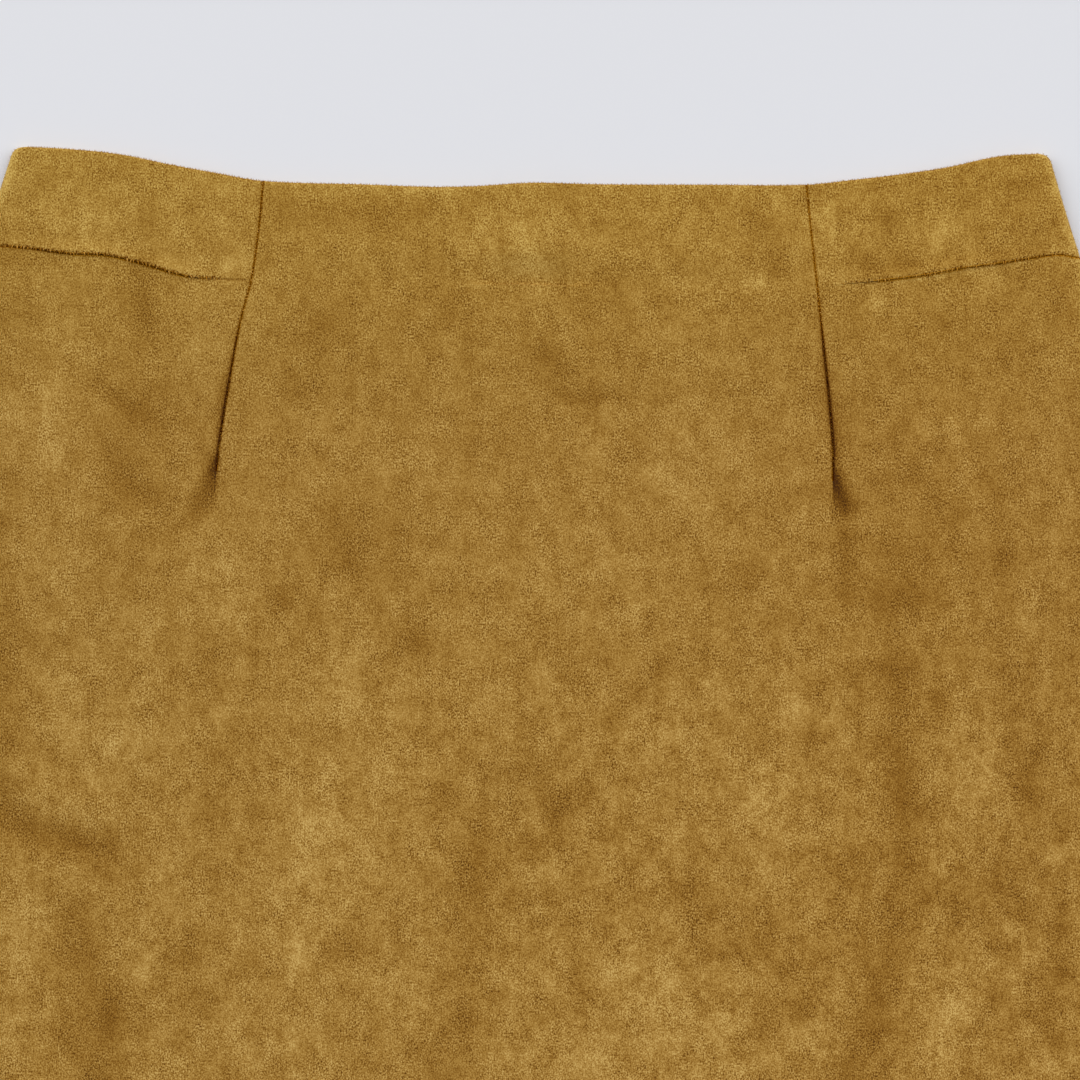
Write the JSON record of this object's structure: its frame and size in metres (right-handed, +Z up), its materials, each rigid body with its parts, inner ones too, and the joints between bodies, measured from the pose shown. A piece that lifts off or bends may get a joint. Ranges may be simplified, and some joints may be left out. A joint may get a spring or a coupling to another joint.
{
  "type": "pencil skirt",
  "caption": "Knee-length fitted skirt in napped faux suede, laid flat and face up, with a shaped waistband, front darts and a concealed back zip.",
  "frame": {"origin": "middle of the laid-out skirt's bounding box, on the surface that its back lies on", "axes": "+Y towards the waist, +X towards the wearer's left, +Z up out of the skirt's front"},
  "size_m": [0.4682, 0.6138, 0.0067],
  "materials": {
    "suede": "matte brushed nap",
    "zip_tape": "matte woven",
    "zip_metal": "satin"
  },
  "bodies": {
    "skirt": {"front_panel": "suede", "front_band_left": "suede", "front_band_right": "suede", "back_panel_left": "suede", "back_panel_right": "suede", "back_band_left": "suede", "back_band_right": "suede", "zip_tape": "zip_tape", "zip_slider": "zip_metal"},
    "pull_tab": {"zip_pull": "zip_metal"}
  },
  "joints": [
    {"name": "pull_tab_swing", "type": "hinge", "parent": "skirt", "child": "pull_tab", "pos_m": [0, 0.287, 0.001], "axis": [1, 0, 0], "range_deg": [0, 180]}
  ]
}
